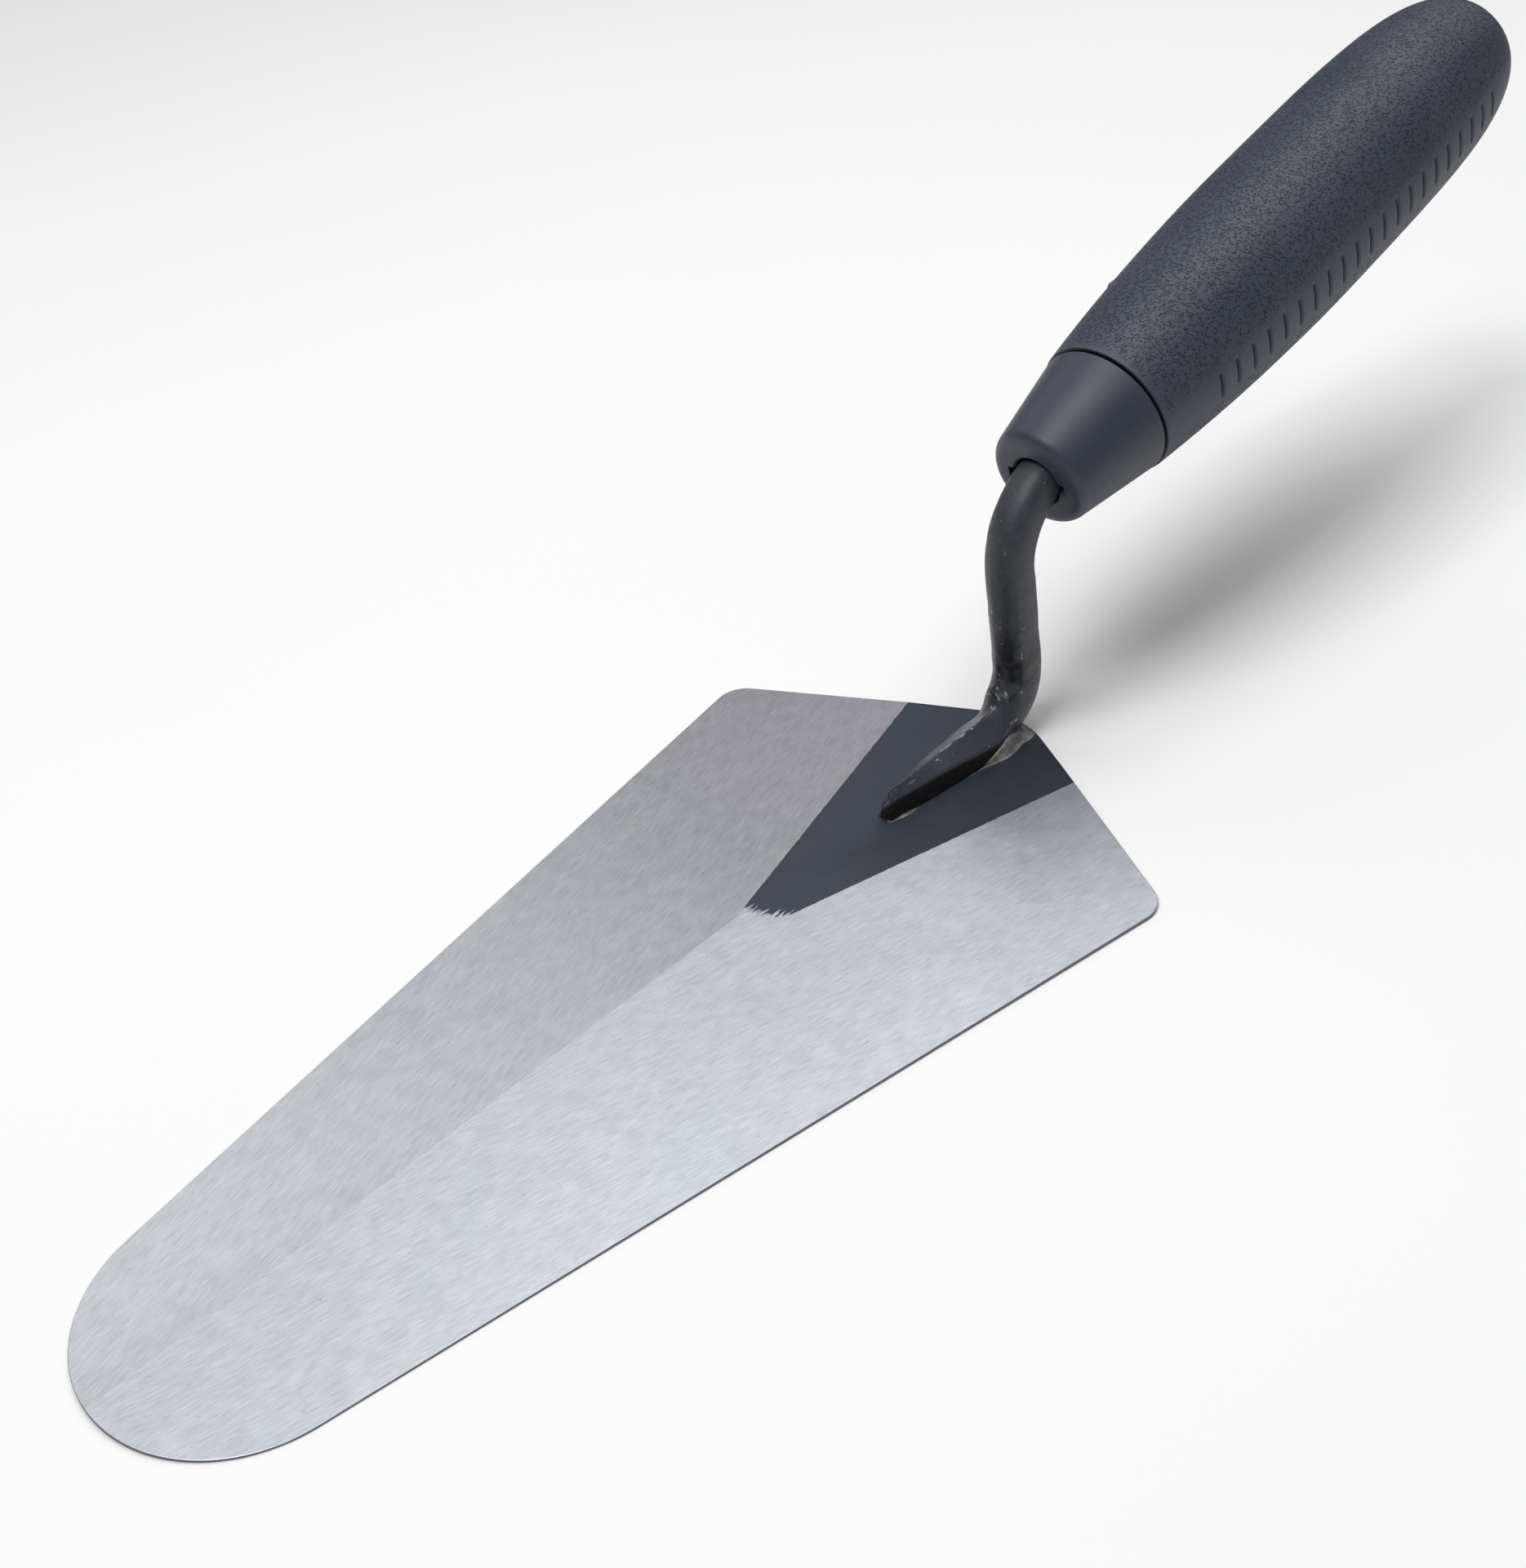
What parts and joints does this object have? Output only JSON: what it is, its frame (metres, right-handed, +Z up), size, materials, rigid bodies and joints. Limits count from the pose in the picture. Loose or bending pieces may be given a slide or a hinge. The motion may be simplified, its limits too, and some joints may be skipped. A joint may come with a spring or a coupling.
{
  "type": "brick trowel",
  "caption": "Round-nosed masonry trowel: ground steel blade with a V heel, welded cranked tang, smooth collar and textured soft grip.",
  "frame": {"origin": "bottom centre of the whole tool's box, on the underside of the blade", "axes": "+X from the blade's toe to the handle's butt, +Z up, the tool symmetric about Y = 0 apart from its grind"},
  "size_m": [0.305, 0.0888, 0.0853],
  "materials": {
    "blade_steel": "ground satin steel, with a matte dark lacquered patch at the heel",
    "tang_lacquer": "semi-gloss black lacquer over forged steel, chipped on its edges",
    "weld_metal": "thinly lacquered weld metal with a dull grey sheen",
    "collar_plastic": "satin moulded plastic",
    "core_plastic": "plain moulded plastic, hidden inside the grip",
    "grip_rubber": "matte soft moulding with a fine leather-like texture"
  },
  "bodies": {
    "root": {"blade": "blade_steel", "tang": "tang_lacquer", "weld_bead": "weld_metal", "collar": "collar_plastic", "handle_core": "core_plastic", "grip_sleeve": "grip_rubber"}
  },
  "joints": []
}
